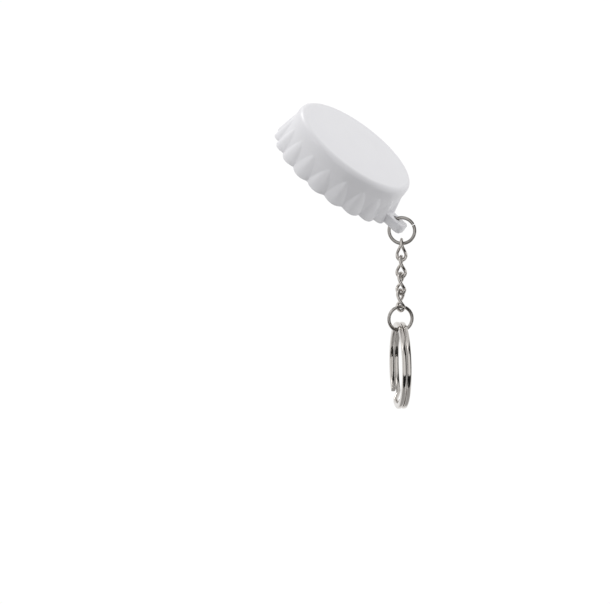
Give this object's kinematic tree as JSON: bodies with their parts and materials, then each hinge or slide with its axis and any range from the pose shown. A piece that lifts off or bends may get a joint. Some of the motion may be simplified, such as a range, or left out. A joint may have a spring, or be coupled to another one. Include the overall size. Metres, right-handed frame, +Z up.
{
  "type": "keychain bottle opener",
  "caption": "Keychain bottle opener: a moulded cap in the shape of a crown cap with a steel prying plate inside, and a lug, jump rings, a twisted chain and a split key ring.",
  "frame": {"origin": "centre of the cap's open mouth, where a bottle's crown goes in", "axes": "+Z up, along the hanging chain; the cap leans 38.8 degrees towards +X, where its lug is, as it does when hooked on a bottle; the cap's own axis is (0.626604, 0, 0.779338)"},
  "size_m": [0.0443, 0.0412, 0.0868],
  "materials": {
    "white_plastic": "smooth moulded white ABS with a soft gloss",
    "steel_plate": "pressed steel, finely brushed",
    "screw_steel": "zinc-plated steel",
    "nickel_plate": "bright nickel plate"
  },
  "bodies": {
    "opener": {"cap_body": "white_plastic", "opener_plate": "steel_plate", "plate_screw_left": "screw_steel", "plate_screw_right": "screw_steel"},
    "lug_ring": {"lug_jump_ring": "nickel_plate"},
    "link_1": {"chain_link_1": "nickel_plate"},
    "link_2": {"chain_link_2": "nickel_plate"},
    "link_3": {"chain_link_3": "nickel_plate"},
    "link_4": {"chain_link_4": "nickel_plate"},
    "end_ring": {"end_jump_ring": "nickel_plate"},
    "split_ring": {"split_ring": "nickel_plate"}
  },
  "joints": [
    {"name": "lug_ring_turn", "type": "hinge", "parent": "opener", "child": "lug_ring", "pos_m": [0.02101, 0.0005, -0.01497], "axis": [0.2402, -0.9707, 0], "range_deg": [-35, 35]},
    {"name": "link_1_swing", "type": "hinge", "parent": "lug_ring", "child": "link_1", "pos_m": [0.02101, 0.0005, -0.01867], "axis": [0.9707, 0.2402, 0], "range_deg": [-35, 35]},
    {"name": "link_2_swing", "type": "hinge", "parent": "link_1", "child": "link_2", "pos_m": [0.02086, 0.00044, -0.02235], "axis": [0.1547, -0.988, 0], "range_deg": [-35, 35]},
    {"name": "link_3_swing", "type": "hinge", "parent": "link_2", "child": "link_3", "pos_m": [0.02086, 0.00044, -0.02836], "axis": [-0.988, -0.1547, 0], "range_deg": [-35, 35]},
    {"name": "link_4_swing", "type": "hinge", "parent": "link_3", "child": "link_4", "pos_m": [0.02072, 0.00037, -0.03207], "axis": [0.3437, 0.9391, 0], "range_deg": [-35, 35]},
    {"name": "end_ring_swing", "type": "hinge", "parent": "link_4", "child": "end_ring", "pos_m": [0.02072, 0.00037, -0.03691], "axis": [0.7443, 0.6678, 0], "range_deg": [-35, 35]},
    {"name": "split_ring_swing", "type": "hinge", "parent": "end_ring", "child": "split_ring", "pos_m": [0.02072, 0.00037, -0.04391], "axis": [0.7443, 0.6678, 0], "range_deg": [-60, 60]}
  ]
}
